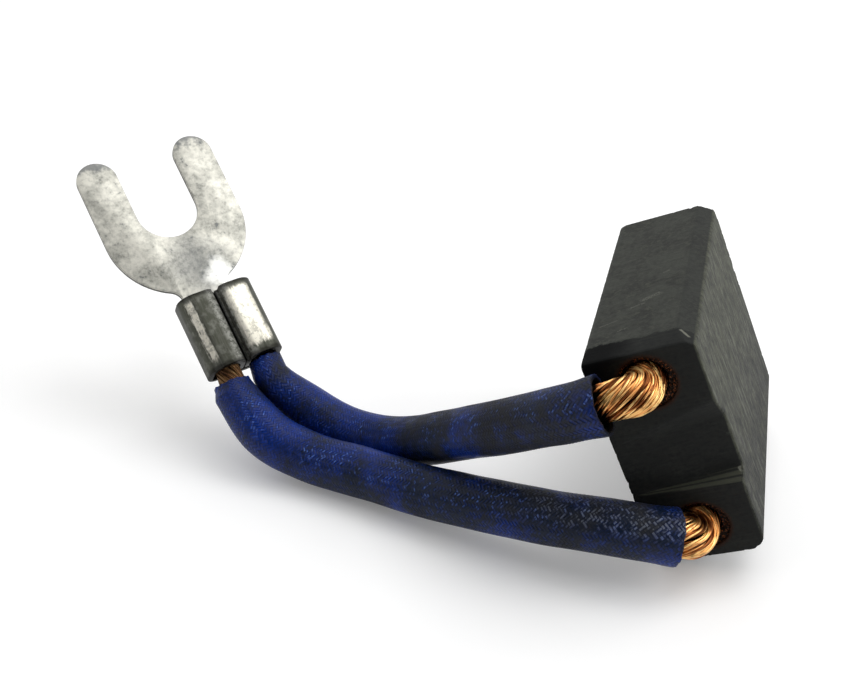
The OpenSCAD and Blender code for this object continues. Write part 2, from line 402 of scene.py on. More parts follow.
@dataclass(frozen=True)
class CarbonFinish:
    """Matt electrographite: faint machining lines, rubs on the broad face, painted shade on the lead face,
    its bevel and its pits, and painted light on the channel's step.
    """

    at: Vector
    lean: float
    thickness: float
    width: float
    length: float
    lip: float
    shelf: float
    channel: float
    hole_heights: tuple[float, float]
    body: Colour = tint(61, 63, 58)
    shade: Colour = tint(42, 43, 41)
    deep: Colour = tint(36, 37, 37)
    black: Colour = tint(4, 5, 6)
    rubbed_and_lit: Colour = tint(75, 77, 66)
    chip: Colour = tint(132, 133, 121)
    dust: Colour = tint(60, 36, 24)
    sawn: Triple = (0.16, 3.6, 3.6)
    wiped: Triple = (3.0, 1.9, 0.13)
    mottled: Triple = (1.6, 1.1, 0.7)
    nick_back: float = 2.0
    top_marks: tuple[Mark, ...] = (
        (7.0, -5.9, 25, 1.5, 0.5), (5.4, -7.4, 18, 1.2, 0.22), (2.5, -10.2, 20, 1.3, 0.12),
        (4.4, -12.4, 16, 0.7, 0.14), (8.3, -0.2, 30, 0.5, 0.2))
    bright_mark: Mark = (11.6, -15.7, -50, 0.8, 0.2)

    def make(self) -> bpy.types.Material:
        """Builds the material.

        Returns:
            The finished material.
        """
        b = Board.finish("carbon")
        place = b.object_mm(self.at, (0, -self.lean, 0))
        x, y, z = b.split(place)
        half_t, half_w, half_l = self.thickness / 2, self.width / 2, self.length / 2
        insets = half_t - abs(x - half_t), half_l - abs(y), half_w - abs(z - half_w)
        to_edge = insets[0] + insets[1] + insets[2] - b.least(*insets) - b.most(*insets)
        blot, speck = b.grain(place, 0.3, 3, 0.6), b.grain(place, 1.7, 3, 0.6)
        fine = b.grain(place, 6.0, 3, 0.7)
        blot_off, speck_off, fine_off = blot - 0.5, speck - 0.5, fine - 0.5
        pits = b.ease(b.cells(place, 1.9), 0.13, 0.05) * b.ease(speck, 0.5, 0.6)
        across = b.grain(place, self.sawn, 3, 0.65)
        along = b.grain(b.vector("ADD", place, b.join(0.0, z * 0.16, 0.0)), self.wiped, 4, 0.65)
        mottle = b.grain(place, self.mottled, 4, 0.7)

        # the faces, and the step at the channel's lower edge with its two grooves
        on_broad = b.ease(x, self.thickness - 0.35, self.thickness - 0.12)
        off_broad = 1 - on_broad
        lead = off_broad * b.ease(y + speck_off * 0.9 + blot_off * 1.6,
                                  self.lip - half_l + 0.1, self.lip - half_l - 0.25)
        on_top = b.ease(z, self.width - 0.5, self.width - 0.25) * off_broad * (1 - lead * 0.8)
        on_bevel = b.ease(self.thickness - x + (self.width - z) * 1.5, 2.1, 1.8)
        # the lead face's upper corner, where the leads' painted shadow falls
        corner = b.ease(x * 0.9 + (self.width - z) * 0.55 + blot_off * 3, 6.5, 2.5)
        share = (y + half_l) / (x * (self.channel / self.thickness) + 0.02)
        shelf = (b.ease(z, self.shelf - 0.12, self.shelf) * b.ease(z, self.shelf + 0.62, self.shelf + 0.5)
                 * b.ease(y, -half_l, 0.06 - half_l) * b.ease(share, 1.15, 1.02) * off_broad)
        grooves = b.most(b.ease(abs(share - 0.36), 0.1, 0.03), b.ease(abs(share - 0.8), 0.12, 0.04))

        # wear: rubs on the broad face, scratches on top, a nick, pale edges and dust round the holes
        rubs = b.ease(along, 0.44, 0.64)
        marks = b.most(*(b.dash(x, y, mark, speck_off * 0.5) for mark in self.top_marks))
        bright = (b.dash(x, y, self.bright_mark, speck_off * 0.3)
                  * b.ease(z, self.width - 1.6, self.width - 1.3))
        nick = shelf * b.ease(abs(x - self.thickness + 0.25) + abs(y + half_l - self.nick_back) * 0.5
                              + speck_off * 0.5, 0.5, 0.3)
        frayed = b.ease(to_edge + fine_off * 0.35 + speck_off * 0.5, 0.2, 0.02)
        rings = [b.vector("LENGTH", b.join(x - half_t, 0.0, z - height), output="Value")
                 for height in self.hole_heights]
        # the broad face: paler towards its top edge, with rubs and darker patches
        broad = b.coats(
            b.mix(b.ease(z + blot_off * 9, -4.0, 24.0) * 0.62 + (mottle - 0.5) * 2.6 + speck_off * 1.2
                  + fine_off * 0.8, self.shade, self.rubbed_and_lit),
            (rubs * b.ease(mottle, 0.42, 0.62) * 0.16, self.chip),
            (b.ease(along, 0.44, 0.32) * b.ease(blot, 0.42, 0.6) * 0.7, self.deep),
            (b.ease(mottle, 0.44, 0.3) * 0.7, self.deep))
        colour = b.coats(
            b.mix(b.ease(blot, 0.36, 0.66) * 0.5 + fine_off * 1.6 + speck_off * 1.8 + 0.3,
                  self.shade, self.body),
            (b.ease(across, 0.5, 0.74) * 0.26, self.rubbed_and_lit),
            (b.ease(blot, 0.55, 0.4) * b.ease(speck, 0.5, 0.65) * 0.35, self.rubbed_and_lit),
            # painted shade: the bevel is painted darker
            (on_bevel * 0.4, self.deep),
            # painted shade: the lead face is painted darker
            (lead * (0.8 + speck_off * 1.3 + (across - 0.5) * 0.9), self.deep),
            # painted shadow of the leads: the lead face's upper corner goes nearly black
            (lead * corner * 0.9, self.black),
            # painted light: the step below the channel is painted paler, less so in its two grooves
            (shelf * (0.7 - grooves * 0.6), self.rubbed_and_lit),
            (on_broad, broad),
            (marks * on_top * b.ease(fine, 0.4, 0.62) * 0.3, self.chip),
            (b.most(bright * off_broad, nick) * 0.6, self.chip),
            (frayed * (0.36 - lead * 0.22), self.rubbed_and_lit),
            *((lead * b.ease(ring + fine_off * 1.2, 3.75, 3.2) * 0.7, self.dust) for ring in rings),
            # painted shade in the pits
            (pits * 0.6, self.deep))
        rough = 0.66 - rubs * on_broad * 0.1 + lead * 0.12 + fine_off * 0.2
        relief = (fine * 0.5 + across * off_broad * 0.35 + along * on_broad * 0.35 + speck * 0.5
                  - pits * 1.2 - shelf * grooves * 1.6 + marks * on_top * 0.4)
        return b.close(Base_Color=colour, Roughness=rough, Specular_IOR_Level=0.1,
                       Normal=b.bump(relief, 0.05))


@dataclass(frozen=True)
class PowderFinish:
    """Tamped copper powder: dull brown grains, painted darker towards their edges as shade in the gaps,
    with a few that still glint.
    """

    grains: float = 3.6
    dark: Colour = tint(26, 15, 10)
    brown: Colour = tint(140, 84, 50)
    bright: Colour = tint(196, 118, 66)

    def make(self) -> bpy.types.Material:
        """Builds the material.

        Returns:
            The finished material.
        """
        b = Board.finish("copper_powder")
        place = b.object_mm()
        from_grain = b.cells(place, self.grains)
        tone = b.cells(place, self.grains, "Color")
        shade = b.pick(b.node("ShaderNodeSeparateColor", None, {0: tone}))
        blot = b.grain(place, 0.8, 3)
        glint = b.ease(shade, 0.84, 0.92) * b.ease(from_grain, 0.4, 0.15) * b.ease(blot, 0.6, 0.45)
        # painted shade: each grain darkens towards its edge, into the gaps between grains
        colour = b.coats(b.mix(b.ease(from_grain, 0.1, 0.55), self.brown, self.dark),
                         (b.ease(blot, 0.46, 0.66) * 0.7, self.dark), (glint, self.bright))
        relief = (1 - from_grain) + b.grain(place, 8.0, 2) * 0.5
        return b.close(Base_Color=colour, Roughness=0.8 - glint * 0.35, Metallic=glint * 0.8,
                       Specular_IOR_Level=0.25, Normal=b.bump(relief, 0.12))


@dataclass(frozen=True)
class StrandFinish:
    """Bright drawn copper, each wire of its own shade, tarnished in places and dull at the barrel; wires
    with a shade below zero get a painted shadow, nearly black.
    """

    shade: str = "wire_shade"
    barrel: Triple = BARREL_AT
    bright: Colour = tint(255, 212, 140)
    warm: Colour = tint(240, 162, 92)
    tarnish: Colour = tint(140, 82, 44)
    burnt: Colour = tint(104, 78, 58)
    painted_shadow: Colour = tint(12, 8, 6)

    def make(self) -> bpy.types.Material:
        """Builds the material.

        Returns:
            The finished material.
        """
        b = Board.finish("copper_strands")
        place = b.object_mm()
        shade = b.attribute(self.shade, "Fac")
        blot, fine = b.grain(place, 1.1, 3), b.grain(place, 8.0, 3)
        off = b.vector("SUBTRACT", place, self.barrel)
        near = b.ease(b.vector("LENGTH", off, output="Value"), 13.0, 8.0)
        colour = b.coats(b.mix(b.ease(shade, 0.1, 0.9), self.warm, self.bright),
                         (b.ease(shade, 0.24, 0.06), self.tarnish),
                         (b.ease(blot + (shade - 0.5) * 0.2, 0.56, 0.72) * 0.6, self.tarnish),
                         (near * 0.85, self.burnt),
                         # painted shadow: a shade below zero, on the core, the covered strands and the
                         # wires at the sleeve's mouth, turns nearly black
                         (b.ease(shade, -0.02, -0.4), self.painted_shadow))
        return b.close(Base_Color=colour, Metallic=1.0, Roughness=0.26 + fine * 0.16 + near * 0.16,
                       Normal=b.bump(fine, 0.015))


@dataclass(frozen=True)
class BraidFinish:
    """Blue lacquered glass braid: fine yarns, glossy patches, painted glints and sheen, painted shade in
    its gaps and lining, and brown-grey grime.
    """

    ends: int
    pitch: float
    highlight_line: float = 0.34
    navy: Colour = tint(8, 24, 50)
    royal: Colour = tint(2, 53, 156)
    slate: Colour = tint(26, 40, 62)
    grime: Colour = tint(44, 43, 40)
    gap: Colour = tint(2, 4, 10)
    glint: Colour = tint(104, 138, 214)
    pale_blue_grey: Colour = tint(112, 119, 130)
    painted_shadow: Colour = tint(8, 7, 8)

    def make(self) -> bpy.types.Material:
        """Builds the material.

        Returns:
            The finished material.
        """
        b = Board.finish("blue_braid")
        place = b.object_mm()
        x, _, z = b.split(place)

        # two sets of yarns, over two and under two
        u, v, lining = b.split(b.attribute("weave", "Vector"))
        first, second = u * self.ends + v / self.pitch, u * self.ends - v / self.pitch
        column, row = b.math("FLOOR", first), b.math("FLOOR", second)
        over = (column + row) % 4.0 > 1.5
        across = b.math("FRACT", first) * over + b.math("FRACT", second) * (1 - over)
        crown = 1 - abs(across * 2 - 1) ** 2.2
        yarn = b.pick(b.node("ShaderNodeTexWhiteNoise", {"noise_dimensions": "2D"},
                             {"Vector": b.join(column, row, 0.0)}), "Value")

        # royal-blue patches with a painted sheen towards the terminal, grime on top, paler yarn crowns near
        # the block
        blot, fine = b.grain(place, 0.3, 4, 0.6), b.grain(place, 3.2, 3, 0.6)
        yarn_off, fine_off = yarn - 0.5, fine - 0.5
        # royal-blue patches, and a painted blue sheen that grows towards the terminal
        lacquer_and_sheen = b.grain(place, 0.13, 3, 0.55) + b.ease(x, -26.0, -46.0) * 0.1
        glossy = b.ease(lacquer_and_sheen + fine_off * 0.2, 0.42, 0.72)
        soiled = (b.ease(blot + b.ease(z, 5.0, 14.0) * 0.12 + fine_off * 0.3, 0.46, 0.76)
                  * (1 - glossy * 0.7))
        bare = b.ease(b.grain(place, 0.22, 3), 0.44, 0.58) * b.ease(x, -52.0, -34.0)
        highlight_line = b.ease(abs(u % 1.0 - self.highlight_line), 0.13, 0.02)
        # painted glints on bright yarn crowns, most of them along the highlight line
        painted_glints = ((yarn > 0.76) * b.ease(crown, 0.55, 0.95) * b.ease(fine, 0.46, 0.56) * (1 - soiled * 0.6)
                 * (highlight_line * 0.85 + 0.15))
        pale_crowns = (b.ease(x + (blot - 0.5) * 24, -22.0, -6.0) * b.ease(z, 16.0, 11.0) * highlight_line
                   * b.ease(crown, 0.5, 0.95) * b.ease(fine + yarn_off * 0.5, 0.42, 0.7) * 0.6)
        colour = b.coats(b.mix(glossy * 0.65 + yarn_off * 0.5 + fine_off * 0.7, self.navy, self.royal),
                         (b.ease(fine, 0.44, 0.62) * (1 - glossy * 0.75) * 0.4, self.slate),
                         (soiled * (0.45 + crown * 0.3), self.grime),
                         # painted shade in the gaps between yarns
                         ((1 - crown) * (0.55 + bare * 0.3), self.gap),
                         (painted_glints * b.ease(blot, 0.56, 0.44) * 0.5, self.glint),
                         (pale_crowns, self.pale_blue_grey),
                         # painted shade: the sleeve's lining is nearly black
                         (lining, self.painted_shadow))
        rough = 0.44 + soiled * 0.22 - glossy * 0.1 - painted_glints * 0.2 + fine_off * 0.2
        relief = crown * (0.6 + bare * 0.4 + yarn_off * 0.9) + fine * 0.5 + painted_glints * 0.6
        return b.close(Base_Color=colour, Roughness=rough, Specular_IOR_Level=0.22,
                       Normal=b.bump(relief, 0.08))


@dataclass(frozen=True)
class TinFinish:
    """Hot-tinned copper sheet: mottled silver, dull where it was crimped, dark along its cut edges, with
    painted highlights on the fork and the barrel's lobes and painted shade on the barrel.
    """

    at: Vector
    turn: Triple
    sheet: float
    barrel: float
    reach: float
    height: float
    drawn: Triple = (0.35, 3.4, 3.4)
    smudge_at: tuple[float, float] = (5.5, -0.6)
    glare_at: tuple[float, float] = (3.2, -3.0)
    narrow_at: float = 4.1
    broad_at: float = -2.5
    pale: Colour = tint(212, 210, 200)
    grey: Colour = tint(146, 146, 139)
    smudge: Colour = tint(104, 107, 109)
    crimped: Colour = tint(74, 75, 67)
    painted_highlight: Colour = tint(226, 222, 208)
    glare: Colour = tint(248, 248, 244)
    soot_and_shade: Colour = tint(30, 29, 26)

    def make(self) -> bpy.types.Material:
        """Builds the material.

        Returns:
            The finished material.
        """
        b = Board.finish("tinned_copper")
        place = b.object_mm(self.at, self.turn)
        x, y, z = b.split(place)
        blot, spots = b.grain(place, 0.2, 4, 0.62), b.grain(place, 0.85, 3, 0.6)
        fleck, fine = b.grain(place, 2.1, 4, 0.65), b.grain(place, 5.0, 3, 0.6)
        drawn = b.grain(place, self.drawn, 3, 0.6)
        spots_off = spots - 0.5
        aside = abs(y)
        on_barrel = b.ease(x, self.barrel + 0.35, self.barrel + 0.05)

        # the flat fork: smudged in its middle and at its tips, a painted highlight beside the neck, dark
        # cut edges
        beyond = x - self.barrel
        middle = b.ease(abs(beyond - self.smudge_at[0]) + abs(y - self.smudge_at[1]) * 1.2
                        + (blot - 0.5) * 9, 8.0, 1.5)
        bright = b.ease(abs(beyond - self.glare_at[0]) + abs(y - self.glare_at[1]) + spots_off * 3,
                        3.8, 1.0)
        edge = (1 - on_barrel) * b.ease(z, 0.8 * self.sheet, 0.6 * self.sheet) * b.ease(z, 0.06, 0.16)
        tips = b.ease(x + spots_off * 5, self.reach - 2.0, self.reach - 0.4)
        fork = b.coats(
            b.mix(b.ease(blot, 0.4, 0.62) * 0.5 + b.ease(spots, 0.42, 0.66) * 0.4
                  + b.ease(fleck, 0.46, 0.66) * 0.3, self.pale, self.grey),
            (middle * (0.25 + fleck * 0.6), self.smudge),
            (bright * 0.8, self.glare),
            (b.ease(spots, 0.6, 0.72) * b.ease(fleck, 0.44, 0.56) * 0.7, self.smudge),
            (edge * (0.55 + spots * 0.6), self.soot_and_shade),
            (tips * 0.75, self.smudge))

        # the barrel: painted highlights along its two lobes, which are smoother there, painted shade in the
        # seam and low on its outer sides, paler inner flanks as painted light, dark at its ends
        crown = b.ease(z, self.height - 1.5, self.height - 0.6)
        waver = (drawn - 0.5) * 1.3 + spots_off * 0.9
        narrow = b.ease(abs(y - self.narrow_at) + waver * 0.9, 0.55, 0.25)
        broad = b.ease(abs(y - self.broad_at) + waver * 0.7, 1.9, 1.4)
        polish_and_highlight = (b.most(narrow, broad) * crown * b.ease(x + waver, 0.9, 1.7)
                * b.ease(x + waver, self.barrel - 0.5, self.barrel - 1.3))
        above = b.ease(z, 1.2, 2.0)
        flank = b.ease(aside, 1.9, 1.1) * above
        seam = b.ease(aside + spots_off * 0.5, 0.5, 0.15) * above
        ends = b.most(b.ease(x + spots_off * 0.8, 0.75, 0.2),
                      b.ease(x + spots_off * 0.8, self.barrel - 0.7, self.barrel - 0.15))
        wing = b.coats(
            b.mix(b.ease(drawn, 0.4, 0.7) * 0.12 + b.ease(spots, 0.46, 0.7) * 0.3,
                  self.crimped, self.grey),
            # painted shade low on the lobes' outer sides
            (b.ease(z, self.height - 1.2, self.height - 2.8) * b.ease(aside, 2.0, 3.2) * 0.4, self.soot_and_shade),
            # painted light: the inner flanks beside the seam are painted paler grey
            (flank * b.ease(fleck, 0.42, 0.56) * 0.8, self.grey),
            # painted highlights along the lobes, where they are also smoother
            (polish_and_highlight * (1 - b.ease(fleck, 0.48, 0.62) * 0.45), self.painted_highlight),
            # painted shade in the seam
            (seam * 0.9, self.soot_and_shade),
            (ends * 0.75, self.soot_and_shade))
        dull = on_barrel * b.most(narrow * crown * 0.75, flank * 0.6)
        relief = fine * 0.3 + blot * 0.5 + spots * 0.5 + drawn * on_barrel * 0.4
        return b.close(Base_Color=b.mix(on_barrel, fork, wing), Metallic=1 - dull,
                       Roughness=0.42 + blot * 0.18 - polish_and_highlight * 0.14 + (fine - 0.5) * 0.16,
                       Normal=b.bump(relief, 0.035))


# ---- leads ----

class Side(Enum):
    """Which hole of the block, and which lobe of the barrel, a lead joins."""

    UPPER = "upper"
    LOWER = "lower"


@dataclass
class Path:
    """A smooth line with an even frame along it."""

    points: np.ndarray

    def __post_init__(self) -> None:
        """Works out the frame: headings, two side directions and lengths along the line."""
        ahead = np.gradient(self.points, axis=0)
        self.ahead = ahead / np.linalg.norm(ahead, axis=1)[:, None]
        side = [np.cross(self.ahead[0], [0, 0, 1.0])]
        side[0] /= np.linalg.norm(side[0])
        for heading in self.ahead[1:]:
            turned = side[-1] - heading * (side[-1] @ heading)
            side.append(turned / np.linalg.norm(turned))
        self.side = np.array(side)
        self.above = np.cross(self.side, self.ahead)
        steps = np.linalg.norm(np.diff(self.points, axis=0), axis=1)
        self.along = np.concatenate([[0.0], np.cumsum(steps)])

    @property
    def length(self) -> float:
        """The line's whole length."""
        return float(self.along[-1])

    def through(self, lengths: np.ndarray) -> "Path":
        """The line through its points at these lengths."""
        return Path(np.stack([np.interp(lengths, self.along, self.points[:, k]) for k in range(3)], 1))

    def part(self, first: float, last: float) -> "Path":
        """The stretch between two lengths along the line, with points as close as its own."""
        spacing = self.length / (len(self.points) - 1)
        return self.through(np.linspace(first, last, max(2, round((last - first) / spacing)) + 1))

    def at(self, angle: np.ndarray, radius: np.ndarray) -> np.ndarray:
        """Points round the line.

        Args:
            angle: An angle in radians for each point of the line.
            radius: A radius in metres for each.

        Returns:
            One point for each.
        """
        return (self.points + radius[:, None] * (self.side * np.cos(angle)[:, None]
                                                 + self.above * np.sin(angle)[:, None]))


class Tubes:
    """Closed tubes of one mesh, with a shade for each of their points."""

    def __init__(self) -> None:
        """Starts with none."""
        self.points: list[np.ndarray] = []
        self.faces: list[tuple[int, ...]] = []
        self.shades: list[np.ndarray] = []

    def add(self, centre: np.ndarray, radius: np.ndarray, sides: int, shade: np.ndarray) -> None:
        """Adds a closed tube round a line of centres.

        Args:
            centre: The line of centres.
            radius: The tube's radius at each.
            sides: How many flat sides go round it.
            shade: The wire's shade at each.
        """
        path, count = Path(centre), len(centre)
        base = sum(len(ring) for ring in self.points)
        for k in range(sides):
            self.points.append(path.at(np.full(count, math.tau * k / sides), radius))
            here, there = base + k * count, base + (k + 1) % sides * count
            self.faces.extend((here + i, there + i, there + i + 1, here + i + 1) for i in range(count - 1))
        self.faces.append(tuple(base + k * count for k in reversed(range(sides))))
        self.faces.append(tuple(base + k * count + count - 1 for k in range(sides)))
        self.shades.extend([shade] * sides)


@dataclass
class Lead:
    """One copper lead in its braided sleeve, from its hole in the block to its lobe of the barrel.

    The route's points in_block, mouth and crimp lie in the block's face, under the sleeve's first end
    and in the barrel's mouth. Its wires show from in_hole under that face to in_sleeve past the mouth,
    and again from before_crimp on. Lengths are in metres, but the weave's pitch, open_over, swell_over
    and round_over are in millimetres.
    """

    place: Side
    route: tuple[Triple, ...]
    bare: float
    draws: int
    patch: float
    bulge: float = 0.0
    slack: float = 0.0
    in_block: int = 2
    mouth: int = 4
    crimp: int = -2
    diameter: float = 5.0 * MM
    squeeze: float = 0.68
    squeeze_over: float = 10 * MM
    spacing: float = 0.15 * MM
    core: float = 0.76
    lay: float = 17.2 * MM
    strands: int = 20
    sunken: int = 5
    wires: int = 5
    wire_share: float = 0.44
    wire_lay: float = 9 * MM
    phases: float = 6.3
    sunk_end: float = 0.2 * MM
    in_hole: float = 1.5 * MM
    in_sleeve: float = 4 * MM
    before_crimp: float = 2 * MM
    overlap: float = 0.5 * MM
    shown_step: float = 0.2 * MM
    crimp_step: float = 0.35 * MM
    plain_step: float = 0.6 * MM
    sleeve_diameter: float = 6.5 * MM
    wall: float = 0.55 * MM
    ends: int = 34
    pitch: float = 0.46
    weave: float = 0.07 * MM
    uneven: float = 0.12 * MM
    ragged: float = 0.10 * MM
    flare: float = 0.05
    open_over: float = 1.8
    swell_over: float = 9
    round_over: float = 1.2
    outward: Triple = (-0.68, -0.73, -0.08)
    gape: Triple = (-0.21, -0.95, -0.2)

    @cached_property
    def line(self) -> Path:
        """The lead's centreline.

        Returns:
            A smooth curve through its route, with evenly spaced points.
        """
        route = np.array(self.route)
        last = len(route) - 1
        curve = []
        for i in range(last):
            a, p, q, d = (route[max(i - 1, 0)], route[i], route[i + 1], route[min(i + 2, last)])
            for t in np.linspace(0, 1, 40, endpoint=False):
                curve.append(0.5 * (2 * p + (q - a) * t + (2 * a - 5 * p + 4 * q - d) * t * t
                                    + (3 * p - a - 3 * q + d) * t ** 3))
        rough = Path(np.array([*curve, route[-1]]))
        return rough.through(np.linspace(0, rough.length, round(rough.length / self.spacing) + 1))

    def reached(self, index: int) -> float:
        """How far along the line a route point lies."""
        gaps = np.linalg.norm(self.line.points - np.array(self.route[index]), axis=1)
        return float(self.line.along[int(gaps.argmin())])

    @cached_property
    def covered(self) -> Path:
        """The stretch under the sleeve."""
        return self.line.part(self.reached(self.mouth), self.reached(self.crimp) - self.bare)

    def share(self, along: np.ndarray) -> np.ndarray:
        """How much of its size the lead keeps at lengths along the line, narrowing towards the barrel."""
        eased = np.clip((self.reached(self.crimp) - along) / self.squeeze_over, 0, 1)
        return self.squeeze + (1 - self.squeeze) * eased ** 2 * (3 - 2 * eased)

    def settled(self, line: Path, share: np.ndarray, places: np.ndarray) -> tuple[Path, np.ndarray]:
        """Draws the rope in and to the far side of the sleeve near its mouth.

        Args:
            line: A stretch of the rope.
            share: The share of its size that it keeps at each point.
            places: The length along the whole line at each point.

        Returns:
            The moved stretch and its new shares.
        """
        near = np.exp(-((places - self.reached(self.mouth)) / (3 * MM)) ** 2)
        aside = near[:, None] * np.array([0, self.slack * MM, 0])
        return Path(line.points + aside), share * (1 - 0.3 * self.slack * near)

    def bundles(self, tubes: Tubes, draw: np.random.Generator, first: float, last: float, step: float,
                wires: int = 0) -> None:
        """Lays the outer bundles along one stretch, each a plain tube or a tube in its own fine wires.

        Args:
            tubes: The mesh that takes them.
            draw: The lead's random draws.
            first: The stretch's first length along the line.
            last: Its last.
            step: The distance between its points.
            wires: How many fine wires go round a bundle.
        """
        count = round((last - first) / step) + 1
        places = np.linspace(first, last, count)
        line = self.line.through(places)
        line, share = self.settled(line, self.share(line.along + first), places)
        half, fit = self.diameter / 2, math.sin(math.pi / self.strands)
        bundle_r = half * fit / (1 + fit)
        wire_r = bundle_r * self.wire_share
        past_mouth = (places - self.reached(self.mouth)) / MM
        # painted shadow: the wires darken from just before the sleeve's mouth inwards
        painted_shadow = np.clip(past_mouth + 0.7, 0, 1.5) * (1.4 if self.slack else 0)

        def swing(low: float, high: float) -> np.ndarray:
            """A slow wave along the stretch, its rate drawn between two bounds."""
            return np.sin(places / MM * draw.uniform(low, high) + draw.uniform(0, self.phases))

        for n in range(self.strands):
            deep = n % self.sunken == 2
            waver = 0.12 * swing(0.2, 0.5)
            turns = places / self.lay + (n + draw.uniform(-0.15, 0.15)) / self.strands
            sunk = np.clip(draw.uniform(0, 0.35) + (0.4 if deep else 0) + 0.25 * swing(0.3, 0.8), 0, 1)
            out = share * (half - bundle_r * (1.15 + 0.5 * sunk))
            strand = Path(line.at(math.tau * turns + waver, out))
            # each strand's own tube has a shade of -0.2, so it is tarnished and about half painted shade
            tubes.add(strand.points, share * bundle_r * (0.6 if wires else 0.95), 5, np.full(count, -0.2))
            for w in range(wires):
                twist = math.tau * (w / wires + strand.along / (self.wire_lay * draw.uniform(0.85, 1.15)))
                out = share * (bundle_r * 1.1 - wire_r) * (1 + draw.uniform(-0.05, 0.08))
                worn = np.clip(draw.uniform(0, 1) + 0.35 * swing(0.6, 1.6), 0, 1)
                # painted shade on the sunken strands' wires, plus the painted shadow at the mouth
                dark = (0.25 if deep else 0) + painted_shadow
                tubes.add(strand.at(twist, out), share * wire_r, 5, worn - dark)

    def rope(self) -> bpy.types.Object:
        """The stranded conductor: a core all along, and bundles of fine wires where they show.

        Returns:
            The mesh object, with each wire's shade in an attribute.
        """
        tubes, draw = Tubes(), np.random.default_rng(self.draws)
        core = Path(self.line.points[::5])
        core, thick = self.settled(core, self.share(core.along), core.along)
        # the core's shade of -0.5 paints it nearly black as shade
        tubes.add(core.points, thick * self.diameter / 2 * self.core, 16, np.full(len(core.points), -0.5))
        hole = self.reached(self.in_block) - self.in_hole
        mouth = self.reached(self.mouth) + self.in_sleeve
        end = self.reached(self.crimp) - self.bare - self.before_crimp
        self.bundles(tubes, draw, self.sunk_end, hole + self.overlap, self.plain_step)
        self.bundles(tubes, draw, hole, mouth, self.shown_step, self.wires)
        self.bundles(tubes, draw, mouth - self.overlap, end + self.overlap, self.plain_step)
        self.bundles(tubes, draw, end, self.line.length, self.crimp_step, self.wires)
        name = f"conductor_{self.place.value}_strands"
        piece = mesh_piece(name, np.concatenate(tubes.points), tubes.faces)
        shade = piece.data.attributes.new("wire_shade", "FLOAT", "POINT")
        shade.data.foreach_set("value", np.concatenate(tubes.shades).astype(np.float32))
        return piece

    def braid_height(self, u: np.ndarray, v: np.ndarray) -> np.ndarray:
        """How high the yarn on top stands, from 0 in a gap to 1 on a crown.

        Args:
            u: Turns round the sleeve.
            v: Millimetres along it.

        Returns:
            A height for each place.
        """
        first, second = u * self.ends + v / self.pitch, u * self.ends - v / self.pitch
        over = (np.floor(first) + np.floor(second)) % 4 > 1.5
        across = np.where(over, first % 1, second % 1)
        return 1 - np.abs(2 * across - 1) ** 2.2

    def wander(self, u: np.ndarray, v: np.ndarray) -> np.ndarray:
        """The sleeve's slow unevenness, from -1 to 1.

        Args:
            u: Turns round the sleeve.
            v: Millimetres along it.

        Returns:
            A height for each place.
        """
        rows, turns, blur = 6, 4, np.ones(9) / 9
        coarse = np.array([[noise.noise(Vector((math.cos(math.tau * a) * 0.9, math.sin(math.tau * a) * 0.9,
                                                b * 0.2 + self.patch)))
                            for a in row] for row, b in zip(u[::rows, ::turns], v[::rows, 0])])
        full = np.repeat(np.repeat(coarse, rows, 0)[:len(u)], turns, 1)[:, :u.shape[1]]
        for axis, edge in enumerate(("edge", "wrap")):
            full = np.apply_along_axis(
                lambda row: np.convolve(np.pad(row, len(blur) // 2, edge), blur, "valid"), axis, full)
        return full

    def sleeve(self) -> bpy.types.Object:
        """The braided sleeve: a thin tube with its yarns in relief and frayed, slightly open ends.

        Returns:
            The mesh object, with turns, millimetres and a mark for its lining in its "weave" attribute.
        """
        line = self.covered
        count, around = len(line.points), self.ends * 4
        u, v = np.meshgrid(np.arange(around) / around, line.along / MM)
        angle = math.tau * u
        spread = (line.side[:, None, :] * np.cos(angle)[..., None]
                  + line.above[:, None, :] * np.sin(angle)[..., None])

        # it flares at the block's end, swells before the barrel, and keeps a wall of even thickness
        share = self.share(line.along + self.reached(self.mouth))
        from_end = (line.along[-1] - line.along) / MM
        swell = (self.bulge * np.clip(from_end / self.round_over, 0.35, 1)
                 * np.clip(1 - from_end / self.swell_over, 0, 1) ** 1.5)
        swollen = swell[:, None] * np.clip(spread @ np.array(self.outward), 0, 1)
        gaping = np.clip(spread @ np.array(self.gape), 0, 1)
        open_end = (self.flare + self.slack * 0.22 * gaping) * np.exp(-(v / self.open_over) ** 2)
        radius = self.sleeve_diameter / 2
        outer = (radius - self.weave + self.braid_height(u, v) * self.weave
                 + self.wander(u, v) * self.uneven - 0.02 * MM)
        outer = outer * (share[:, None] * (1 + open_end) + swollen)
        inner = (radius - self.wall) * (share[:, None] * (1 + open_end * 1.3) + swollen)
        frayed = self.ragged * np.sin(9 * angle[0]) * np.sin(4 * angle[0] + 1)
        along = np.zeros((count, around))
        along[0], along[1], along[-2], along[-1] = frayed, frayed * 0.5, -frayed * 0.5, -frayed
        middle = line.points[:, None, :] + along[..., None] * line.ahead[:, None, :]
        skin = middle + outer[..., None] * spread
        few, rows = around // 4, np.unique(np.append(np.arange(0, count, 4), count - 1))
        lining = (middle + inner[..., None] * spread)[rows][:, ::4]
        points = np.concatenate([skin.reshape(-1, 3), lining.reshape(-1, 3)])

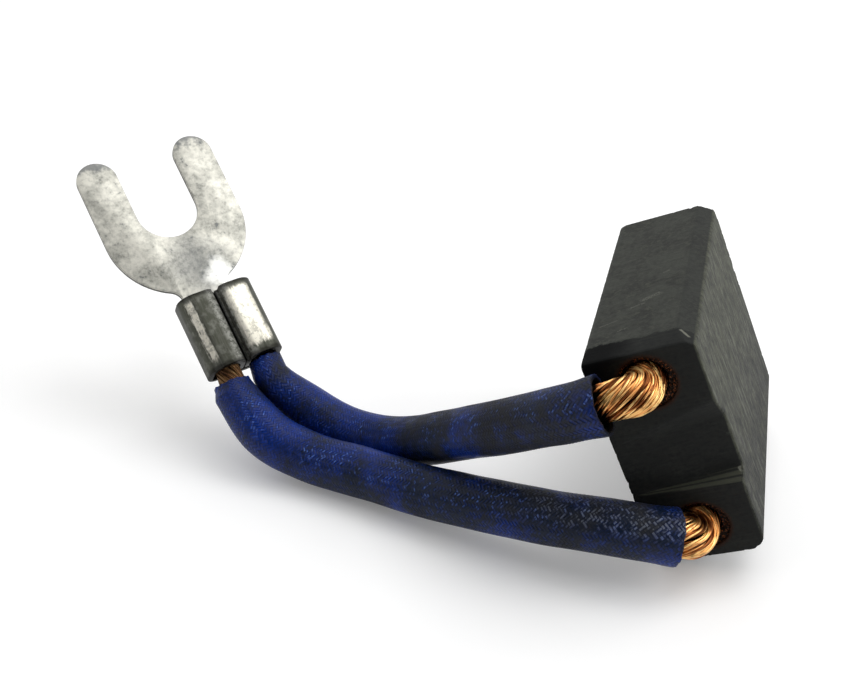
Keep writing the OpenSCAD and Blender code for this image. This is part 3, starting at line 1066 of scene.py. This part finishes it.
        # the skin, the lining, which faces inwards, and the rims that join them
        faces: list[tuple[int, ...]] = []
        for i in range(count - 1):
            a, c = i * around, (i + 1) * around
            faces.extend((a + k, a + (k + 1) % around, c + (k + 1) % around, c + k) for k in range(around))
        base, top, back = count * around, (count - 1) * around, count * around + (len(rows) - 1) * few
        for i in range(len(rows) - 1):
            a, c = base + i * few, base + (i + 1) * few
            faces.extend((a + k, c + k, c + (k + 1) % few, a + (k + 1) % few) for k in range(few))
        for k in range(few):
            n = (k + 1) % few
            rim = [(4 * k + j) % around for j in range(5)]
            faces.append((base + k, base + n, *reversed(rim)))
            faces.append((back + n, back + k, *(top + r for r in rim)))
        piece = mesh_piece(f"sleeve_{self.place.value}_braid", points, faces)

        # each corner's place in the weave; the last face round ends at a whole turn, not at zero
        weave = piece.data.attributes.new("weave", "FLOAT_VECTOR", "CORNER")
        loops = np.zeros(len(piece.data.loops), np.int32)
        piece.data.loops.foreach_get("vertex_index", loops)
        table = np.concatenate([np.stack([u.ravel(), v.ravel(), np.zeros(u.size)], 1),
                                np.tile([0.1, 0.1, 1.0], (len(points) - u.size, 1))])
        corner = table[loops]
        quads = 4 * (count - 1) * around
        turns = corner[:quads, 0].reshape(-1, 4)
        turns[(turns.max(1) - turns.min(1) > 0.5)[:, None] & (turns < 0.5)] += 1
        corner[:quads, 0] = turns.ravel()
        weave.data.foreach_set("vector", corner.astype(np.float32).ravel())
        return piece

    def build(self, strands: bpy.types.Material, braid: bpy.types.Material) -> None:
        """Args:
            strands: The conductor's finish.
            braid: The sleeve's finish.
        """
        end = self.place.value
        rope, sleeve = self.rope(), self.sleeve()
        dress(rope, strands, f"conductor_{end}")
        dress(sleeve, braid, f"sleeve_{end}")
        for piece, path, diameter in ((rope, self.line, self.diameter),
                                      (sleeve, self.covered, self.sleeve_diameter)):
            LOG.info("%s: %.1f mm long", piece.name, path.length / MM)


# ---- block and terminal ----

@dataclass
class BrushBlock:
    """The carbon block with its two tamped lead holes. Its sizes are in millimetres."""

    at: Vector = Vector((0.009, 0, -0.315)) * MM
    lean: float = 23.4
    thickness: float = 12.7
    width: float = 28.6
    length: float = 35.0
    lip: float = 2.6
    shelf: float = 9.6
    channel: float = 2.4
    hole_low: float = 4.45
    block_voxel: float = 0.22
    chip_band: float = 0.9
    chip_reach: float = 0.75
    chip_side: float = 0.8
    chip_depth: float = 0.16
    powder_voxel: float = 0.12
    powder_depth: float = 1.2
    grain_depth: float = 0.28

    def finish(self) -> CarbonFinish:
        """The block's finish."""
        return CarbonFinish(self.at, self.lean, self.thickness, self.width, self.length, self.lip,
                            self.shelf, self.channel, (self.hole_low, self.width - self.hole_low))

    def upright(self, piece: bpy.types.Object, back: bool = False) -> None:
        """Turns a piece's mesh from the leaning block's frame to the upright one, or back again."""
        turn = Matrix.Translation(self.at) @ Matrix.Rotation(-math.radians(self.lean), 4, "Y")
        piece.data.transform(turn if back else turn.inverted())

    def remeshed(self, node: str, name: str, voxel: float) -> bpy.types.Object:
        """A copy of a node in even small faces that lie square to the block.

        Args:
            node: The CAD node's name.
            name: The new piece's name.
            voxel: The faces' size.

        Returns:
            The new piece, in the upright block's frame.
        """
        piece = copy_of_node(node, name)
        self.upright(piece)
        shape(piece, "REMESH", mode="VOXEL", voxel_size=voxel * MM, use_smooth_shade=True)
        return piece

    def body(self) -> bpy.types.Object:
        """The block with small chips out of its edges.

        Returns:
            The mesh object.
        """
        piece = self.remeshed("carbon_block", "carbon_block_worn", self.block_voxel)
        mesh = piece.data
        points = np.zeros(len(mesh.vertices) * 3, np.float32)
        mesh.vertices.foreach_get("co", points)
        points = points.reshape(-1, 3)
        half = np.array([self.thickness, self.length, self.width]) / 2 * MM
        middle = np.array([self.thickness / 2, 0, self.width / 2]) * MM
        inset = half - np.abs(points - middle)
        order = np.sort(inset, axis=1)
        by_edge = (order[:, 0] + order[:, 1] < self.chip_band * MM) & (order[:, 1] < self.chip_reach * MM)
        for k in np.flatnonzero(by_edge):
            place = Vector(points[k]) / MM
            depth = max(0.0, noise.noise(place * 0.9) * 0.9 + noise.noise(place * 2.6) * 0.5 - 0.22)
            near = 1 - order[k, 1] / (self.chip_reach * MM)
            towards = np.where(inset[k] < self.chip_side * MM, np.sign(middle - points[k]), 0)
            points[k] += towards * min(depth * near * 0.28, self.chip_depth) * MM
        mesh.vertices.foreach_set("co", points.ravel())
        self.upright(piece, back=True)
        smooth(piece, 28)
        return piece

    def tamping(self, place: Side) -> bpy.types.Object:
        """The ring of packed powder in one hole, with a grainy face.

        Args:
            place: Which hole.

        Returns:
            The mesh object.
        """
        node = f"tamping_{place.value}"
        piece = self.remeshed(node, f"{node}_grains", self.powder_voxel)
        face = -self.length / 2 + self.powder_depth
        for vertex in piece.data.vertices:
            spot = vertex.co / MM
            if spot.y < face:
                lump = noise.noise(spot * 1.1) * 0.5 + noise.noise(spot * 2.7) * 0.35
                grain = 0.35 - noise.voronoi(spot * 2.4)[0][0]
                vertex.co.y -= min(lump * 0.28 + grain * 0.4, self.grain_depth) * MM
        self.upright(piece, back=True)
        return piece

    def build(self) -> None:
        """Builds and dresses the block and its powder."""
        dress(self.body(), self.finish().make(), "carbon_block")
        powder = PowderFinish().make()
        for place in Side:
            dress(self.tamping(place), powder, f"tamping_{place.value}")


@dataclass
class ForkTerminal:
    """The stamped fork with its rolled and crimped barrel. Its sizes are in millimetres."""

    at: Vector = Vector(BARREL_AT) * MM
    turn: Triple = (-6, -40, 141)
    sheet: float = 0.8
    barrel: float = 10.6
    reach: float = 34.6
    height: float = 5.5
    edge: float = 0.12

    def build(self) -> None:
        """Builds and dresses the terminal."""
        piece = copy_of_node("fork_terminal", "fork_terminal_tinned")
        shape(piece, "BEVEL", width=self.edge * MM, segments=3, limit_method="ANGLE",
              angle_limit=math.radians(35), harden_normals=False)
        smooth(piece, 30)
        finish = TinFinish(self.at, self.turn, self.sheet, self.barrel, self.reach, self.height)
        dress(piece, finish.make(), "fork_terminal")


# ---- studio ----

@dataclass(frozen=True)
class PaperFinish:
    """White paper: a faint glow that only the eye sees makes it pure white, and it keeps the shadows."""

    lift: float = 0.16
    paper: Colour = (0.9, 0.9, 0.9, 1.0)

    def make(self) -> bpy.types.Material:
        """Builds the material.

        Returns:
            The finished material.
        """
        b = Board.finish("paper")
        matt = b.pick(b.node("ShaderNodeBsdfDiffuse", None, {"Color": self.paper}))
        glow = b.pick(b.node("ShaderNodeEmission", None, {"Strength": b.seen() * self.lift}))
        return b.surface(b.node("ShaderNodeAddShader", None, {0: matt, 1: glow}))


@dataclass(frozen=True)
class FeltFinish:
    """Plain black felt."""

    felt: Colour = tint(28, 28, 28)

    def make(self) -> bpy.types.Material:
        """Builds the material."""
        b = Board.finish("black_felt")
        return b.surface(b.node("ShaderNodeBsdfDiffuse", None, {"Color": self.felt}))


@dataclass
class Studio:
    """Camera, lamps, world, paper floor and a dark card.

    The eye's place is in millimetres, the other places and sizes are in metres.
    """

    eye: Triple = (0.98, -126.15, 93.35)
    tilt: float = 58.652
    swing: float = 14.754
    lens: float = 49.02
    sensor: float = 36
    clip: tuple[float, float] = (0.005, 10)
    aim: Triple = (-0.03, 0, 0.01)
    overhead: Triple = (0.12, 0.10, 0.42)
    overhead_power: float = 0.5
    window: Triple = (0.45, 0.05, 0.28)
    window_power: float = 0.65
    soft_box: float = 0.25
    floor: float = 3.0
    card: float = 1.1
    card_at: Triple = (0, -0.5, 0.55)

    def camera(self) -> None:
        """The camera, at the height and turn that shows the leads' side of the block."""
        data = bpy.data.cameras.new("camera")
        data.lens, data.sensor_width = self.lens, self.sensor
        data.clip_start, data.clip_end = self.clip
        camera = add("camera", data)
        camera.location = Vector(self.eye) * MM
        camera.rotation_euler = (math.radians(self.tilt), 0, math.radians(self.swing))
        bpy.context.scene.camera = camera

    def lamp(self, name: str, at: Triple, power: float) -> None:
        """A square soft box that faces the brush.

        Args:
            name: The lamp's name.
            at: Its place.
            power: Its power, in watts.
        """
        data = bpy.data.lights.new(name, "AREA")
        data.shape, data.size, data.energy = "SQUARE", self.soft_box, power
        lamp = add(name, data)
        lamp.location = at
        lamp.rotation_euler = (Vector(self.aim) - Vector(at)).to_track_quat("-Z", "Y").to_euler()

    def plane(self, name: str, material: bpy.types.Material, size: float, at: Triple = (0, 0, 0),
              turn: Triple = (0, 0, 0)) -> bpy.types.Object:
        """A flat square of the studio.

        Args:
            name: Its name.
            material: Its finish.
            size: Its side.
            at: Its middle.
            turn: Its turn about X, Y and Z, in degrees.

        Returns:
            The object.
        """
        bpy.ops.object.select_all(action="DESELECT")
        bpy.ops.mesh.primitive_plane_add(size=size, location=at, rotation=[math.radians(a) for a in turn])
        plane = bpy.context.object
        plane.name = name
        plane.data.materials.append(material)
        return plane

    def build(self) -> None:
        """Builds the floor, the card that shades the near sides, the lamps and the white world."""
        self.plane("paper_floor", PaperFinish().make(), self.floor)
        card = self.plane("dark_card", FeltFinish().make(), self.card, self.card_at, (90, 0, 0))
        card.visible_camera = False
        self.lamp("overhead", self.overhead, self.overhead_power)
        self.lamp("window", self.window, self.window_power)
        world = bpy.data.worlds.new("studio")
        bpy.context.scene.world = world
        b = Board(world)
        white = b.node("ShaderNodeBackground", None, {"Color": (1, 1, 1, 1), "Strength": 1.0})
        b.node("ShaderNodeOutputWorld", None, {"Surface": b.pick(white)})
        bpy.context.scene.view_settings.view_transform = "Standard"


UPPER_ROUTE = (
    (-0.00408, -0.0075, 0.02423), (-0.00408, -0.015, 0.02423), (-0.00408, -0.0175, 0.02423),
    (-0.0048, -0.0199, 0.0243), (-0.008, -0.021, 0.0232), (-0.012, -0.0203, 0.0208),
    (-0.019, -0.0167, 0.0156), (-0.026, -0.0128, 0.0104), (-0.032, -0.0093, 0.006),
    (-0.0375, -0.0071, 0.0036), (-0.043, -0.006, 0.0037), (-0.048, -0.0053, 0.0055),
    (-0.05211, -0.00567, 0.00939), (-0.05425, -0.00393, 0.0117), (-0.05997, 0.0007, 0.01787))
LOWER_ROUTE = (
    (0.00375, -0.0075, 0.00615), (0.00375, -0.015, 0.00615), (0.00375, -0.0175, 0.00615),
    (0.0033, -0.02, 0.0066), (0.0014, -0.0212, 0.0072), (-0.003, -0.0218, 0.0076),
    (-0.012, -0.021, 0.0068), (-0.021, -0.0189, 0.0054), (-0.03, -0.0164, 0.0041),
    (-0.0385, -0.0141, 0.0035), (-0.0455, -0.0128, 0.0036), (-0.051, -0.012, 0.0054),
    (-0.05563, -0.00946, 0.00897), (-0.05778, -0.00773, 0.01129), (-0.06349, -0.0031, 0.01746))


def main() -> None:
    """Builds the camera, the terminal, the leads, the block and the studio, in that order."""
    logging.basicConfig(level=logging.INFO, format="%(name)s %(message)s")
    studio = Studio()
    studio.camera()
    ForkTerminal().build()
    strands = StrandFinish().make()
    leads = (Lead(Side.UPPER, UPPER_ROUTE, bare=0.4 * MM, draws=7, patch=3.0, slack=0.3),
             Lead(Side.LOWER, LOWER_ROUTE, bare=1.8 * MM, draws=8, patch=9.0, bulge=0.26))
    braid = BraidFinish(leads[0].ends, leads[0].pitch).make()
    for lead in leads:
        lead.build(strands, braid)
    BrushBlock().build()
    studio.build()


if __name__ == "__main__":
    main()
